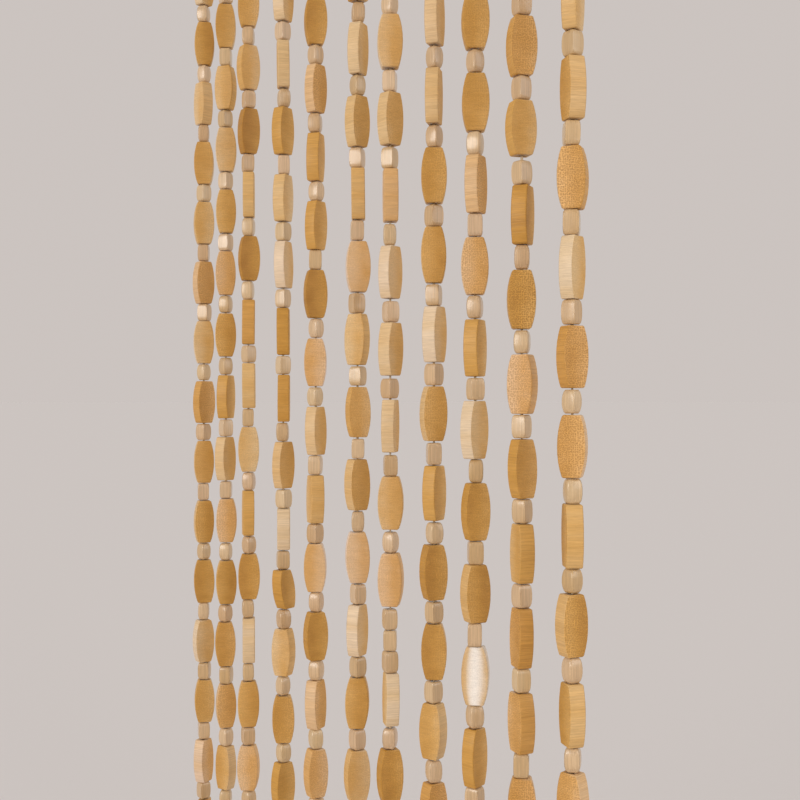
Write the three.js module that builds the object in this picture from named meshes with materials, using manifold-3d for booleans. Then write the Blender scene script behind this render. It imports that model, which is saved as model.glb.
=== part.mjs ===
/**
 * Bead curtain: a cut length of beaded strands, hung from a plain heading strip.
 *
 * Each strand is a thin string. It carries long flat barrel beads, sawn across a bamboo wall, and
 * one short square bead after each of them. The strands hang side by side, apart from each other,
 * and only their upper ends are joined to the heading strip.
 *
 * Millimetres, +Z up. The origin is the middle of the heading strip's top face. The curtain hangs
 * down along -Z, its width runs along X and its front faces -Y.
 */
import * as THREE from 'three';
import { mergeVertices } from 'three/addons/utils/BufferGeometryUtils.js';
import Module from 'manifold-3d';

// The heading strip: a wooden batten that holds the upper ends of the strings.
const HEADING = { height: 22, depth: 18, overhang: 16 };

// The strands, at even places along the heading but for each one's own shift.
const STRAND_SPACING = 32.5;
const STRING_RADIUS = 0.9;
const STRING_SIDES = 3;
const STRING_IN_HEADING = 4;
const BEAD_GAP = 0.45;
const KNOT = { radius: 1.9, height: 3 };
const TAIL = 5;

// The long bead is a flat slab with a barrel outline: its faces bulge sideways, its thickness is even.
const LONG_BEAD = { length: 28.2, endWidth: 8.5, middleWidth: 13.2, thickness: 7.4 };
// Its outline's corners, down from its upper end, as shares of its length and of its bulge.
const LONG_OUTLINE = [
  { down: 0, bulge: 0 },
  { down: 0.31, bulge: 1 },
  { down: 0.69, bulge: 1 },
  { down: 1, bulge: 0 },
];
// The short bead is a square peg.
const SHORT_BEAD = { length: 10.9, width: 7.1 };
const SHORT_STEP = SHORT_BEAD.length + BEAD_GAP;

// Nothing here is turned or sawn exactly alike: how far each bead strays from its plain size and place.
const STRAY = { width: 0.03, thickness: 0.07, length: 0.3, turnDegrees: 5, offset: 0.35, lean: 0.012 };

// The beads' turns are told from this spot in front of the curtain and to its right: a long bead
// with no turn shows it its flat face.
const VIEW_SPOT = { x: 494.5, y: -378.6 };
// One letter for each long bead, in steps of ten degrees: 0 is face on, 1 to 9 show ever more of
// its left side, and a to i ever more of its right side.
const TURN_LETTERS = 'ihgfedcba0123456789';
const TURN_STEP = 10;

// From right to left. shift: how far the strand hangs to the right of its even place. bare: the
// bare string under the heading. lead: the short beads that it starts with. pitch: the length of
// one long and one short bead together. turns: one letter for each long bead, from the top down.
const STRANDS = [
  { shift: 0.7, bare: 13.7, lead: 2, pitch: 40.0, turns: '2c07ga63ah3gc151a' },
  { shift: 2.1, bare: 11.7, lead: 0, pitch: 39.6, turns: '6a142270b4ggf0c83' },
  { shift: 3.2, bare: 6.8, lead: 2, pitch: 40.1, turns: '0g310707523a60e2f' },
  { shift: 5.3, bare: 7.3, lead: 1, pitch: 40.5, turns: 'a52780062620c47g1' },
  { shift: 2.7, bare: 9.4, lead: 1, pitch: 41.1, turns: '31f0495580ah204d' },
  { shift: 6.6, bare: 8.6, lead: 1, pitch: 40.3, turns: 'c046490c230602g51' },
  { shift: -0.6, bare: 12.6, lead: 2, pitch: 39.8, turns: '8b1575106h0263f07' },
  { shift: -1.7, bare: 11.4, lead: 0, pitch: 40.4, turns: '036956699595c04b2' },
  { shift: -8.4, bare: 5.0, lead: 0, pitch: 40.2, turns: '5h023919909090a6g' },
  { shift: -3.3, bare: 12.0, lead: 0, pitch: 40.2, turns: '270c0000650000e31' },
  { shift: 1.0, bare: 5.7, lead: 1, pitch: 40.0, turns: 'b40f012030102057c' },
];

// The beads that differ from their neighbours, each by strand and by long bead, counted from 0.
// shorter: this long bead is sawn that much shorter. slack: it leaves that much more bare string
// under it. leanDegrees: it hangs askew. moreShorts: it is followed by that many more short beads.
const ODD_BEADS = [
  { strand: 1, bead: 5, shorter: 2.2, slack: 2.2, leanDegrees: 0, moreShorts: 0 },
  { strand: 4, bead: 10, shorter: 0, slack: 0, leanDegrees: 0, moreShorts: 2 },
  { strand: 7, bead: 10, shorter: 3.4, slack: 0, leanDegrees: 0, moreShorts: 0 },
  { strand: 7, bead: 11, shorter: 4.6, slack: 0, leanDegrees: 9, moreShorts: 0 },
];
const PLAIN_BEAD = { shorter: 0, slack: 0, leanDegrees: 0, moreShorts: 0 };
const oddOf = (strand, bead) =>
  ODD_BEADS.find((row) => row.strand === strand && row.bead === bead) ?? PLAIN_BEAD;

// Repeatable unevenness, from -1 to 1, for one quality of one bead of one strand.
const QUALITY = { width: 1, thickness: 2, length: 3, turn: 4, offsetX: 5, offsetY: 6, leanX: 7, leanY: 8 };
const SCATTER = { strand: 12.9898, bead: 78.233, quality: 37.719, spread: 43758.5453 };
const SHORT_NUMBERS = 100;

function scatter(strand, bead, quality) {
  const angle = strand * SCATTER.strand + bead * SCATTER.bead + quality * SCATTER.quality;
  const wave = Math.sin(angle) * SCATTER.spread;
  return 2 * (wave - Math.floor(wave)) - 1;
}

/** A closed ring of points round a centre, counted anticlockwise as seen from above. */
function ringOf(corners, centre, turn) {
  const axis = new THREE.Vector3(0, 0, 1);
  return {
    angles: corners.map((corner) => Math.atan2(corner.y, corner.x) + turn),
    points: corners.map((corner) => {
      const point = new THREE.Vector3(corner.x, corner.y, 0);
      return point.applyAxisAngle(axis, turn).add(centre);
    }),
  };
}

function rectangleRing(width, thickness, centre, turn) {
  const [x, y] = [width / 2, thickness / 2];
  const corners = [[-x, -y], [x, -y], [x, y], [-x, y]].map(([a, b]) => new THREE.Vector2(a, b));
  return ringOf(corners, centre, turn);
}

function stringRing(radius, x, z) {
  const corners = Array.from({ length: STRING_SIDES }, (_, side) => {
    const angle = (2 * Math.PI * side) / STRING_SIDES;
    return new THREE.Vector2(radius * Math.cos(angle), radius * Math.sin(angle));
  });
  return ringOf(corners, new THREE.Vector3(x, 0, z), 0);
}

/** How one bead strays: its turn, its offset from the string and how it leans on it. */
function strayOf(strand, number) {
  const of = (quality) => scatter(strand, number, quality);
  return {
    width: 1 + STRAY.width * of(QUALITY.width),
    thickness: 1 + STRAY.thickness * of(QUALITY.thickness),
    length: STRAY.length * of(QUALITY.length),
    turn: STRAY.turnDegrees * of(QUALITY.turn),
    offset: new THREE.Vector2(of(QUALITY.offsetX), of(QUALITY.offsetY)).multiplyScalar(STRAY.offset),
    lean: new THREE.Vector2(of(QUALITY.leanX), of(QUALITY.leanY)).multiplyScalar(STRAY.lean),
  };
}

/** The rings of one bead: sections are its widths, and how far down its length each one lies. */
function beadRings(sections, length, thickness, turn, stray, x, middle) {
  return sections.map(({ down, width }) => {
    const rise = (0.5 - down) * length;
    const centre = new THREE.Vector3(
      x + stray.offset.x + stray.lean.x * rise,
      stray.offset.y + stray.lean.y * rise,
      middle + rise,
    );
    return rectangleRing(width, thickness, centre, turn);
  });
}

/** How long the long beads of one strand are: a little less where it is closely threaded. */
const longLengthOf = (strand) =>
  Math.min(LONG_BEAD.length, STRANDS[strand].pitch - SHORT_STEP - BEAD_GAP);

function longBeadRings(strand, number, letter, x, top) {
  const odd = oddOf(strand, number);
  const stray = strayOf(strand, number);
  const toViewer = Math.atan2(VIEW_SPOT.x - x, -VIEW_SPOT.y);
  const steps = TURN_LETTERS.indexOf(letter) - TURN_LETTERS.indexOf('0');
  const turn = toViewer + THREE.MathUtils.degToRad(steps * TURN_STEP + stray.turn);
  const askew = Math.tan(THREE.MathUtils.degToRad(odd.leanDegrees));
  stray.lean.add(new THREE.Vector2(Math.cos(turn), Math.sin(turn)).multiplyScalar(-askew));
  const room = longLengthOf(strand) - odd.shorter;
  const bulge = LONG_BEAD.middleWidth - LONG_BEAD.endWidth;
  const sections = LONG_OUTLINE.map((corner) => ({
    down: corner.down,
    width: (LONG_BEAD.endWidth + bulge * corner.bulge) * stray.width,
  }));
  const thickness = LONG_BEAD.thickness * stray.thickness;
  return beadRings(sections, room + stray.length, thickness, turn, stray, x, top - room / 2);
}

function shortBeadRings(strand, number, x, top) {
  const stray = strayOf(strand, SHORT_NUMBERS + number);
  const turn = Math.PI * scatter(strand, SHORT_NUMBERS + number, QUALITY.turn);
  const width = SHORT_BEAD.width * stray.width;
  const sections = [{ down: 0, width }, { down: 1, width }];
  const length = SHORT_BEAD.length + stray.length;
  return beadRings(sections, length, width, turn, stray, x, top - SHORT_BEAD.length / 2);
}

/** All the rings of one strand, from inside the heading down to its knot. */
function strandRings(strand, x) {
  const { bare, lead, pitch, turns } = STRANDS[strand];
  const longLength = longLengthOf(strand);
  const extraGap = pitch - longLength - SHORT_STEP - BEAD_GAP;
  const rings = [
    stringRing(STRING_RADIUS, x, STRING_IN_HEADING - HEADING.height),
    stringRing(STRING_RADIUS, x, BEAD_GAP / 2 - HEADING.height - bare),
  ];
  let level = -HEADING.height - bare;
  let shorts = 0;
  const threadShort = () => {
    rings.push(...shortBeadRings(strand, shorts, x, level - BEAD_GAP / 2));
    level -= SHORT_STEP;
    shorts += 1;
    rings.push(stringRing(STRING_RADIUS, x, level));
  };
  for (let i = 0; i < lead; i += 1) threadShort();
  [...turns].forEach((letter, number) => {
    rings.push(...longBeadRings(strand, number, letter, x, level - BEAD_GAP / 2));
    const odd = oddOf(strand, number);
    level -= longLength - odd.shorter + BEAD_GAP + extraGap + odd.slack;
    rings.push(stringRing(STRING_RADIUS, x, level));
    for (let i = 0; i <= odd.moreShorts; i += 1) threadShort();
  });
  rings.push(stringRing(KNOT.radius, x, level - KNOT.height / 2));
  rings.push(stringRing(STRING_RADIUS, x, level - KNOT.height));
  rings.push(stringRing(STRING_RADIUS, x, level - KNOT.height - TAIL));
  return rings;
}

/** Triangles between two rings of any number of sides: each step takes the next point round. */
function joinRings(upper, lower, upperStart, lowerStart) {
  const wrap = (angle) => angle - 2 * Math.PI * Math.floor(angle / (2 * Math.PI));
  const [m, n] = [upper.points.length, lower.points.length];
  const apart = (j) => Math.abs(wrap(lower.angles[j] - upper.angles[0] + Math.PI) - Math.PI);
  const nearest = lower.angles.reduce((best, _, j) => (apart(j) < apart(best) ? j : best), 0);
  const from = upper.angles[0] - Math.PI;
  const round = (ring, step, first) => {
    const count = ring.angles.length;
    const full = Math.floor(step / count) * 2 * Math.PI;
    return full + wrap(ring.angles[(first + step) % count] - ring.angles[first]);
  };
  const lowerLag = wrap(lower.angles[nearest] - from) - Math.PI;
  const triangles = [];
  let [i, j] = [0, 0];
  while (i < m || j < n) {
    const upperNext = i < m ? round(upper, i + 1, 0) : Infinity;
    const lowerNext = j < n ? round(lower, j + 1, nearest) + lowerLag : Infinity;
    const a = upperStart + (i % m);
    const b = lowerStart + ((nearest + j) % n);
    if (upperNext <= lowerNext) {
      triangles.push([a, b, upperStart + ((i + 1) % m)]);
      i += 1;
    } else {
      triangles.push([a, b, lowerStart + ((nearest + j + 1) % n)]);
      j += 1;
    }
  }
  return triangles;
}

/** The flat end of a ring, facing up or down. */
function capRing(ring, start, facesUp) {
  return ring.points.slice(2).map((_, i) => {
    const [second, third] = [start + i + 1, start + i + 2];
    return facesUp ? [start, second, third] : [start, third, second];
  });
}

const wasm = await Module();
wasm.setup();

function solidOf(positions, triangles) {
  const vertProperties = new Float32Array(positions);
  const triVerts = new Uint32Array(triangles);
  return new wasm.Manifold(new wasm.Mesh({ numProp: 3, vertProperties, triVerts }));
}

function strandSolid(strand, x) {
  const rings = strandRings(strand, x);
  const starts = [];
  rings.reduce((start, ring) => starts.push(start) && start + ring.points.length, 0);
  const triangles = capRing(rings[0], starts[0], true);
  for (let i = 1; i < rings.length; i += 1) {
    triangles.push(...joinRings(rings[i - 1], rings[i], starts[i - 1], starts[i]));
  }
  triangles.push(...capRing(rings.at(-1), starts.at(-1), false));
  const positions = rings.flatMap((ring) => ring.points.flatMap((point) => point.toArray()));
  return solidOf(positions, triangles.flat());
}

function headingSolid(width) {
  const geometry = new THREE.BoxGeometry(width, HEADING.depth, HEADING.height);
  geometry.translate(0, 0, -HEADING.height / 2);
  geometry.deleteAttribute('normal');
  geometry.deleteAttribute('uv');
  const merged = mergeVertices(geometry);
  return solidOf(merged.attributes.position.array, merged.index.array);
}

function geometryOf(solid) {
  const mesh = solid.getMesh();
  const geometry = new THREE.BufferGeometry();
  geometry.setAttribute('position', new THREE.BufferAttribute(new Float32Array(mesh.vertProperties), 3));
  geometry.setIndex(new THREE.BufferAttribute(new Uint32Array(mesh.triVerts), 1));
  geometry.computeVertexNormals();
  return geometry;
}

const span = (STRANDS.length - 1) * STRAND_SPACING;
const placeOf = (strand) => span / 2 - strand * STRAND_SPACING + STRANDS[strand].shift;

let curtain = headingSolid(span + 2 * HEADING.overhang);
STRANDS.forEach((_, strand) => {
  curtain = curtain.add(strandSolid(strand, placeOf(strand)));
});

const bamboo = new THREE.MeshStandardMaterial({ color: 0xd2a566, roughness: 0.55, metalness: 0 });
const strandsOnHeading = new THREE.Mesh(geometryOf(curtain), bamboo);
strandsOnHeading.name = 'strands_on_heading';

const group = new THREE.Group();
group.name = 'bead_curtain';
group.add(strandsOnHeading);

export default group;
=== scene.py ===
"""The looks of a bead curtain: bamboo beads on strings, hung from a wooden heading strip.

Metres, +Z up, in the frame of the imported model: the origin is the middle of the heading strip's
top face, the curtain hangs down along -Z, its width runs along X and its front faces -Y.
"""
import math

import bmesh
import bpy
from mathutils import Matrix, Vector


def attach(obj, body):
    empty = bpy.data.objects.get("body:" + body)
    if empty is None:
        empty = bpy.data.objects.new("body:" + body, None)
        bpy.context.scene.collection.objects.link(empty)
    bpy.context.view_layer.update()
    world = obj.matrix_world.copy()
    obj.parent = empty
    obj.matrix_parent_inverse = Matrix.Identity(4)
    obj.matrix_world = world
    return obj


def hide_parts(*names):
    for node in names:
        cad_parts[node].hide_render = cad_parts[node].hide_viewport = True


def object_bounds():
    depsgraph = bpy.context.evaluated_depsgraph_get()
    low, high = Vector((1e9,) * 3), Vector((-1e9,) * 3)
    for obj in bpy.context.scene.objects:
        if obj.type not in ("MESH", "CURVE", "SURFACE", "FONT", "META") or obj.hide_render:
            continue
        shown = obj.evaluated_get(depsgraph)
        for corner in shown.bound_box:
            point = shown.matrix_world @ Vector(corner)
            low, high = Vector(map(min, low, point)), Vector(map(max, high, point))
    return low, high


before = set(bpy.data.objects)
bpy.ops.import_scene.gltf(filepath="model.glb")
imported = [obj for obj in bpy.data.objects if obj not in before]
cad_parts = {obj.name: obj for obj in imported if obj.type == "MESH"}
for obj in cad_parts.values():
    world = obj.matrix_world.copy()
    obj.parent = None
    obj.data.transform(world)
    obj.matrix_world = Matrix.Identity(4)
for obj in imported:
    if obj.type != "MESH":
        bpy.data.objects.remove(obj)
CAD_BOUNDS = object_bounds()
MM = 0.001
UP = Vector((0, 0, 1))

# ---------------------------------------------------------------------------------------------
# Sizes, the same as the construction's, in millimetres
# ---------------------------------------------------------------------------------------------

HEADING = {"height": 22, "depth": 18, "overhang": 16, "rounding": 1.4}
STRAND_SPACING = 32.5
STRING = {"radius": 0.72, "flatness": 0.62, "twist_pitch": 3.4, "sides": 8}
BEAD_GAP = 0.45
KNOT = {"radius": 1.6, "height": 3, "tail": 5}

LONG_BEAD = {"length": 28.2, "end_width": 8.5, "middle_width": 13.2, "thickness": 7.4}
LONG_BULGE_POWER = 2.2
LONG_ROWS = 8
LONG_ROUNDING = 0.55
SHORT_BEAD = {"length": 10.9, "width": 7.1}
SHORT_BEVEL = 0.45
# A short bead's corners are worn round towards its ends, on some beads more than on others.
# share: a height, from 0 in its middle to 1 at its ends. flat: from its axis to its flat side.
# corner: from its axis to its corner.
SQUARE_WEAR = [
    {"share": 0.25, "flat": 3.55, "corner": 4.93},
    {"share": 0.62, "flat": 3.53, "corner": 4.68},
    {"share": 0.87, "flat": 3.38, "corner": 4.20},
    {"share": 1.00, "flat": 2.85, "corner": 3.55},
]
ROUND_WEAR = [
    {"share": 0.22, "flat": 3.55, "corner": 4.55},
    {"share": 0.56, "flat": 3.45, "corner": 4.25},
    {"share": 0.84, "flat": 3.12, "corner": 3.70},
    {"share": 1.00, "flat": 2.50, "corner": 2.95},
]
SQUARE_SHARE = 0.5
BORE_RADIUS = 1.15
BORE_SIDES = 6
# Points of a bead's form that lie nearer to its axis than this belong to its bore.
BORE_REACH = 1.01 * BORE_RADIUS
# Edges that turn more than this are sharp.
SHARP_ANGLE = math.radians(40)
# An edge is upright if this much of it or more runs along Z.
STEEP = 0.9
# A face whose middle is this near to a bead's end is its end face.
END_TOLERANCE = 1e-4
SHORT_STEP = SHORT_BEAD["length"] + BEAD_GAP

STRAY = {
    "width": 0.03, "thickness": 0.07, "length": 0.3, "turn_degrees": 5, "offset": 0.35, "lean": 0.012,
}

# The beads' turns are told from this spot in front of the curtain and to its right, which is
# where the camera stands too: a long bead with no turn shows it its flat face.
VIEW_SPOT = {"x": 494.5, "y": -378.6, "z": -372.0}
TURN_LETTERS = "ihgfedcba0123456789"
TURN_STEP = 10

# From right to left. shift: how far the strand hangs to the right of its even place. bare: the
# bare string under the heading. lead: the short beads that it starts with. pitch: the length of
# one long and one short bead together. turns: one letter for each long bead, from the top down,
# in steps of ten degrees: 0 is face on, 1 to 9 show ever more of its left side, and a to i ever
# more of its right side.
STRANDS = [
    {"shift": 0.7, "bare": 13.7, "lead": 2, "pitch": 40.0, "turns": "2c07ga63ah3gc151a"},
    {"shift": 2.1, "bare": 11.7, "lead": 0, "pitch": 39.6, "turns": "6a142270b4ggf0c83"},
    {"shift": 3.2, "bare": 6.8, "lead": 2, "pitch": 40.1, "turns": "0g310707523a60e2f"},
    {"shift": 5.3, "bare": 7.3, "lead": 1, "pitch": 40.5, "turns": "a52780062620c47g1"},
    {"shift": 2.7, "bare": 9.4, "lead": 1, "pitch": 41.1, "turns": "31f0495580ah204d"},
    {"shift": 6.6, "bare": 8.6, "lead": 1, "pitch": 40.3, "turns": "c046490c230602g51"},
    {"shift": -0.6, "bare": 12.6, "lead": 2, "pitch": 39.8, "turns": "8b1575106h0263f07"},
    {"shift": -1.7, "bare": 11.4, "lead": 0, "pitch": 40.4, "turns": "036956699595c04b2"},
    {"shift": -8.4, "bare": 5.0, "lead": 0, "pitch": 40.2, "turns": "5h023919909090a6g"},
    {"shift": -3.3, "bare": 12.0, "lead": 0, "pitch": 40.2, "turns": "270c0000650000e31"},
    {"shift": 1.0, "bare": 5.7, "lead": 1, "pitch": 40.0, "turns": "b40f012030102057c"},
]

# The beads that differ from their neighbours, each by strand and by long bead, counted from 0.
# shorter: this long bead is sawn that much shorter. slack: it leaves that much more bare string
# under it. lean_degrees: it hangs askew. more_shorts: it is followed by that many more short beads.
ODD_BEADS = {
    (1, 5): {"shorter": 2.2, "slack": 2.2, "lean_degrees": 0, "more_shorts": 0},
    (4, 10): {"shorter": 0, "slack": 0, "lean_degrees": 0, "more_shorts": 2},
    (7, 10): {"shorter": 3.4, "slack": 0, "lean_degrees": 0, "more_shorts": 0},
    (7, 11): {"shorter": 4.6, "slack": 0, "lean_degrees": 9, "more_shorts": 0},
}
PLAIN_BEAD = {"shorter": 0, "slack": 0, "lean_degrees": 0, "more_shorts": 0}

# The kinds of wood that the beads come in. brown: from pale sapwood, 0, to a deep golden brown, 1,
# and under 0 for a lacquered bead with a painted highlight down its middle. blush: how far it leans
# from yellow, 0, to pink, 1. speckle: how dark its fibre ends are.
WOODS = {
    "pearl": {"brown": -0.20, "blush": 0.10, "speckle": 0.05},
    "cream": {"brown": 0.27, "blush": 0.15, "speckle": 0.25},
    "rose": {"brown": 0.26, "blush": 0.60, "speckle": 0.15},
    "straw": {"brown": 0.38, "blush": 0.15, "speckle": 0.30},
    "pink": {"brown": 0.36, "blush": 0.65, "speckle": 0.70},
    "tan": {"brown": 0.53, "blush": 0.50, "speckle": 0.85},
    "golden": {"brown": 0.54, "blush": 0.10, "speckle": 0.35},
    "amber": {"brown": 0.64, "blush": 0.00, "speckle": 0.42},
    "stippled": {"brown": 0.62, "blush": 0.00, "speckle": 0.90},
    "dark": {"brown": 0.84, "blush": 0.05, "speckle": 0.40},
}
COMMON_WOODS = ["straw", "tan", "golden", "pink", "golden", "tan", "straw", "golden", "cream", "amber"]
# The long beads whose wood stands out from the common run, by strand and bead.
PICKED_WOODS = {
    "pearl": [(2, 11)],
    "cream": [
        (0, 6), (2, 8), (3, 7), (4, 6), (5, 7), (5, 11), (6, 9), (7, 5), (7, 6), (7, 10), (7, 12), (8, 5),
        (8, 8), (8, 9), (9, 4),
    ],
    "rose": [(4, 5), (4, 10), (5, 6), (5, 10), (6, 10)],
    "straw": [(1, 10), (4, 7), (4, 8), (4, 9), (5, 5), (5, 8), (6, 8), (8, 10), (8, 12), (9, 9)],
    "pink": [(1, 8), (2, 6), (6, 7), (9, 6), (9, 10)],
    "tan": [(0, 5), (0, 7), (0, 8), (1, 11), (2, 5)],
    "golden": [
        (1, 5), (1, 9), (2, 7), (3, 6), (3, 8), (3, 9), (4, 4), (5, 4), (6, 4), (7, 4), (7, 7), (7, 9),
        (9, 5), (9, 8), (9, 12),
    ],
    "stippled": [(0, 4), (0, 10), (1, 7)],
    "amber": [
        (0, 9), (1, 6), (2, 9), (2, 10), (3, 5), (3, 10), (3, 11), (6, 11), (7, 11), (8, 11), (9, 7),
        (9, 11),
    ],
    "dark": [(6, 6), (8, 4), (8, 6)],
}
# A bead is sawn across the bamboo's wall, so that one of its sides is near the golden rind and
# the other is the pale inner wood. These have the rind on the viewer's left, or on the right.
RIND_LEFT = [
    (0, 7), (0, 8), (1, 5), (1, 6), (1, 7), (1, 9), (2, 7), (2, 9), (3, 5), (3, 9), (3, 10), (3, 11),
    (4, 5), (5, 5), (5, 8), (6, 6), (6, 7), (6, 10), (7, 5), (7, 11), (8, 4), (8, 6), (8, 11),
    (9, 8), (9, 12),
]
RIND_RIGHT = [
    (0, 5), (0, 6), (0, 10), (1, 8), (1, 10), (1, 11), (2, 5), (2, 8), (3, 7), (4, 4), (4, 6), (4, 7),
    (4, 9), (4, 10), (5, 4), (5, 6), (5, 7), (5, 10), (5, 11), (6, 8), (6, 9), (7, 6),
    (9, 5), (9, 7), (9, 9), (9, 11),
]

# Repeatable unevenness, from -1 to 1, for one quality of one bead of one strand.
QUALITY = {
    "width": 1, "thickness": 2, "length": 3, "turn": 4, "offset_x": 5, "offset_y": 6,
    "lean_x": 7, "lean_y": 8, "wood": 9, "brown": 10, "blush": 11, "speckle": 12, "rind": 13,
    "wear": 14,
}
SCATTER = {"strand": 12.9898, "bead": 78.233, "quality": 37.719, "spread": 43758.5453}
# A strand's short beads are numbered on from this, so that they stray unlike its long ones.
SHORT_NUMBERS = 100
# The wood of a short bead, and how much the wood of each kind of bead strays.
WOOD_QUALITIES = ("brown", "blush", "speckle")
SHORT_WOOD = (0.45, 0.50, 0.50)
LONG_WOOD_STRAY = (0.07, 0.10, 0.20)
SHORT_WOOD_STRAY = (0.40, 0.50, 0.50)
# How far apart in the bamboo a strand's beads were cut, from each one to the next.
GRAIN_STEP = Vector((17.3, 41.9, 29.7))


def scatter(strand, bead, quality):
    angle = strand * SCATTER["strand"] + bead * SCATTER["bead"] + QUALITY[quality] * SCATTER["quality"]
    wave = math.sin(angle) * SCATTER["spread"]
    return 2 * (wave - math.floor(wave)) - 1


def strayed(strand, bead, middles, reaches):
    """A bead's brown, blush and speckle, each strayed from its middle value."""
    return tuple(
        middle + reach * scatter(strand, bead, quality)
        for quality, middle, reach in zip(WOOD_QUALITIES, middles, reaches)
    )


# ---------------------------------------------------------------------------------------------
# Camera, light and floor
# ---------------------------------------------------------------------------------------------

VIEW_AZIMUTH = 50
LENS = 50
CLIP_START = 0.02
FLOOR_DROP = 0.06
FLOOR_SIZE = 400
DISC_SLICES = 100
# What the floor gives back, and what is seen beyond its edge: one pale surface without a horizon.
BACKDROP = (0.60, 0.55, 0.525)
WORLD = {"strength": 0.62, "colour": (1.0, 0.985, 0.965)}
# Azimuth 0 shines from the front, -Y, and 90 from the right, +X.
SUNS = [
    {"name": "key_light", "azimuth": 0, "elevation": 9, "softness": 34, "strength": 2.0,
     "colour": (1.0, 0.97, 0.92)},
    {"name": "fill_light", "azimuth": 102, "elevation": 10, "softness": 60, "strength": 1.7,
     "colour": (1.0, 0.98, 0.95)},
]


def make_camera():
    camera = bpy.data.objects.new("camera", bpy.data.cameras.new("camera"))
    camera.data.lens = LENS
    camera.data.clip_start = CLIP_START
    camera.location = [VIEW_SPOT[axis] * MM for axis in "xyz"]
    camera.rotation_euler = (math.radians(90), 0, math.radians(VIEW_AZIMUTH))
    bpy.context.scene.collection.objects.link(camera)
    bpy.context.scene.camera = camera


def make_sun(name, azimuth, elevation, softness, strength, colour):
    """A broad far light, so that the floor is lit evenly however far it reaches."""
    sun = bpy.data.lights.new(name, "SUN")
    sun.energy = strength
    sun.angle = math.radians(softness)
    sun.color = colour
    across, rise = math.radians(azimuth), math.radians(elevation)
    towards = Vector((
        math.cos(rise) * math.sin(across), -math.cos(rise) * math.cos(across), math.sin(rise),
    ))
    holder = bpy.data.objects.new(name, sun)
    holder.rotation_euler = towards.to_track_quat("Z", "Y").to_euler()
    bpy.context.scene.collection.objects.link(holder)


def make_world():
    world = bpy.data.worlds.new("studio")
    world.use_nodes = True
    nodes, links = world.node_tree.nodes, world.node_tree.links
    nodes.clear()
    seen = nodes.new("ShaderNodeBackground")
    seen.inputs["Color"].default_value = (*BACKDROP, 1)
    seen.inputs["Strength"].default_value = 1.0
    cast = nodes.new("ShaderNodeBackground")
    cast.inputs["Color"].default_value = (*WORLD["colour"], 1)
    cast.inputs["Strength"].default_value = WORLD["strength"]
    ray = nodes.new("ShaderNodeLightPath")
    mix = nodes.new("ShaderNodeMixShader")
    out = nodes.new("ShaderNodeOutputWorld")
    links.new(ray.outputs["Is Camera Ray"], mix.inputs["Fac"])
    links.new(cast.outputs["Background"], mix.inputs[1])
    links.new(seen.outputs["Background"], mix.inputs[2])
    links.new(mix.outputs["Shader"], out.inputs["Surface"])
    bpy.context.scene.world = world


def share_on_floor(sun):
    """How much of a sun's light a level floor gets: a wide disc may lie partly below it."""
    rise, radius = math.radians(sun["elevation"]), math.radians(sun["softness"] / 2)
    lit = whole = 0
    for i in range(DISC_SLICES):
        up = (2 * i + 1) / DISC_SLICES - 1
        slice_width = math.sqrt(1 - up * up)
        lit += slice_width * max(0, math.sin(rise + up * radius))
        whole += slice_width
    return lit / whole


def floor_colour():
    """The floor's own colour, so that what it gives back of all the light is the backdrop."""
    shares = [sun["strength"] * share_on_floor(sun) / math.pi for sun in SUNS]
    return [
        seen / (WORLD["strength"] * WORLD["colour"][band] + sum(
            share * sun["colour"][band] for share, sun in zip(shares, SUNS)
        ))
        for band, seen in enumerate(BACKDROP)
    ]


def make_floor():
    bm = bmesh.new()
    bmesh.ops.create_grid(bm, x_segments=1, y_segments=1, size=FLOOR_SIZE / 2)
    bmesh.ops.translate(bm, verts=bm.verts, vec=(0, 0, CAD_BOUNDS[0].z - FLOOR_DROP))
    material = bpy.data.materials.new("pale_floor")
    material.use_nodes = True
    shader = material.node_tree.nodes["Principled BSDF"]
    shader.inputs["Base Color"].default_value = (*floor_colour(), 1)
    shader.inputs["Roughness"].default_value = 1.0
    shader.inputs["Specular IOR Level"].default_value = 0.0
    piece_from(bm, "floor", [material])


# ---------------------------------------------------------------------------------------------
# Making pieces
# ---------------------------------------------------------------------------------------------

def piece_from(bm, name, materials):
    """An object at the origin that holds this mesh, in metres."""
    mesh = bpy.data.meshes.new(name)
    bm.to_mesh(mesh)
    bm.free()
    for material in materials:
        mesh.materials.append(material)
    piece = bpy.data.objects.new(name, mesh)
    bpy.context.scene.collection.objects.link(piece)
    return piece


def finish_piece(piece):
    """Smooth faces whose light follows their large neighbours, and a place on the curtain."""
    for polygon in piece.data.polygons:
        polygon.use_smooth = True
    weighted = piece.modifiers.new("even_light", "WEIGHTED_NORMAL")
    weighted.mode = "FACE_AREA_WITH_ANGLE"
    weighted.keep_sharp = True
    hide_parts("strands_on_heading")
    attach(piece, "root")


def end_faces(bm, half_length):
    """The flat faces at the two ends of a bead, upper one first."""
    flat = [f for f in bm.faces if abs(abs(f.calc_center_median().z) - half_length) < END_TOLERANCE]
    flat.sort(key=lambda face: -face.calc_area())
    return sorted(flat[:2], key=lambda face: -face.calc_center_median().z)


def angle_round_bore(vert):
    return math.atan2(vert.co.y, vert.co.x)


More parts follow.
